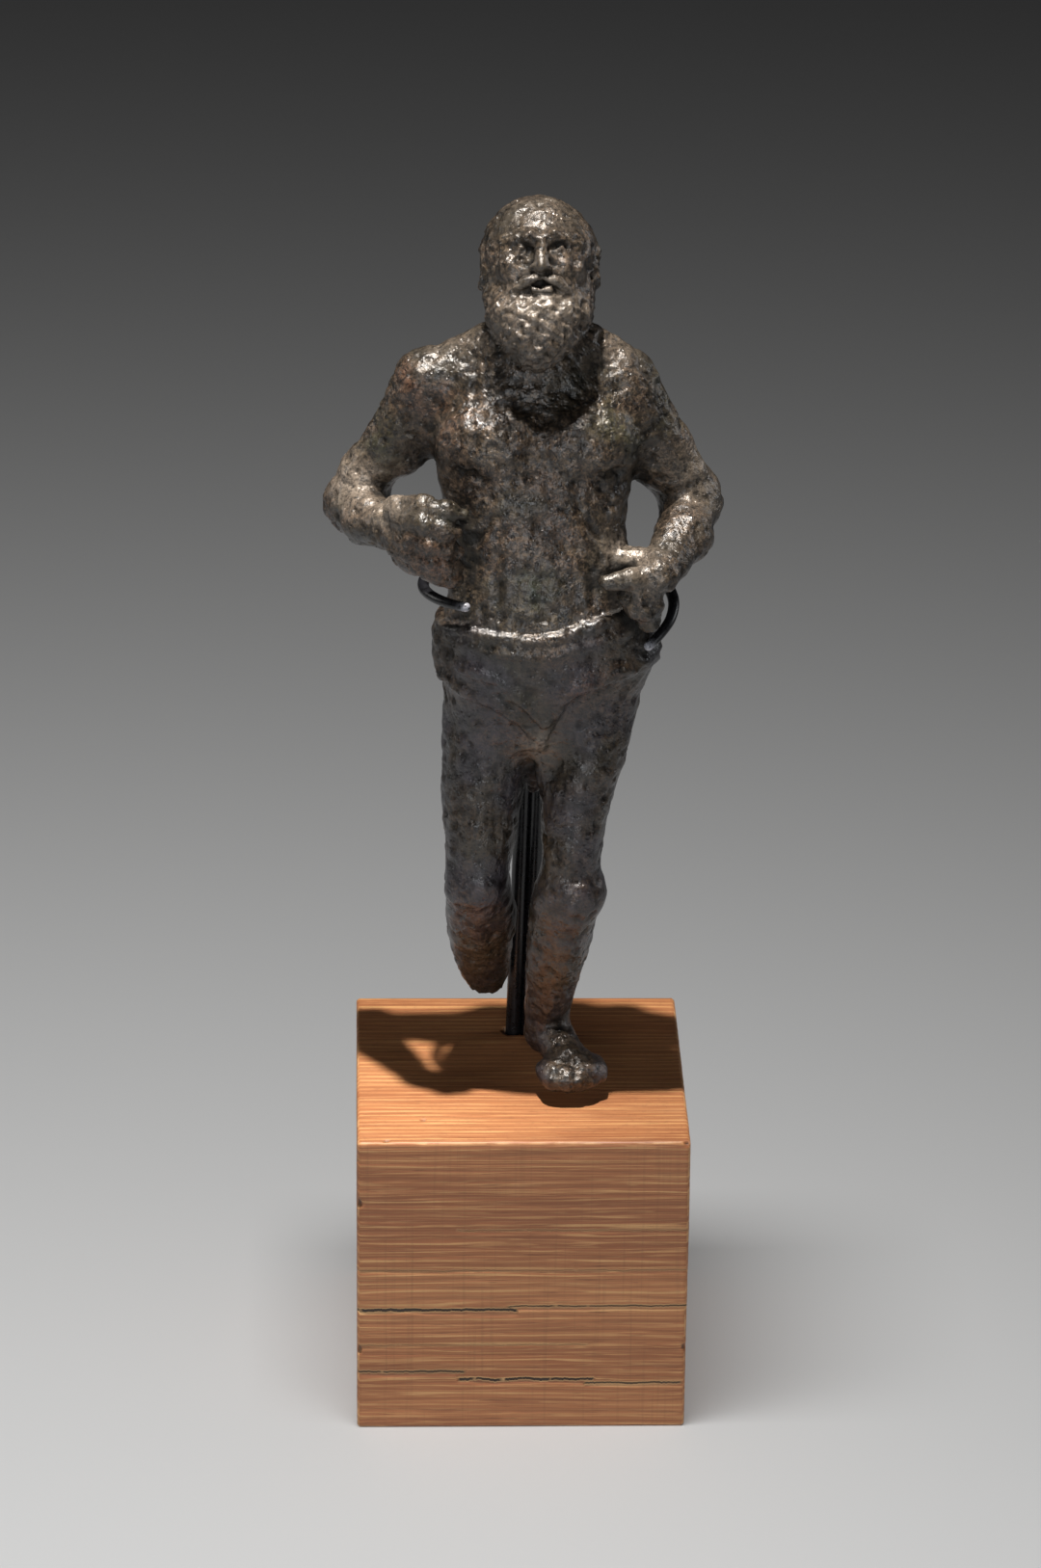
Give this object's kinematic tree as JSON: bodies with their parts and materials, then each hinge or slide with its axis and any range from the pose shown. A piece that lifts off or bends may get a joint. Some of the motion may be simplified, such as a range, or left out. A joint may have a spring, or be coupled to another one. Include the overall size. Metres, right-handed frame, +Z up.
{
  "type": "statuette on stand",
  "caption": "Small cast bronze figure of a bearded boxer in a rolled loincloth, one lower leg lost, held at the waist by a black wire cradle on a square hardwood block.",
  "frame": {"origin": "centre of the block's underside", "axes": "+Z up, the figure faces -Y, its own left side is toward +X"},
  "size_m": [0.0604, 0.0508, 0.1897],
  "materials": {
    "bronze": "dark brown patina, pitted and encrusted",
    "black_paint": "gloss black",
    "wood": "oiled, straight grain"
  },
  "bodies": {
    "root": {"figurine": "bronze", "wire_cradle": "black_paint", "wood_block": "wood"}
  },
  "joints": []
}
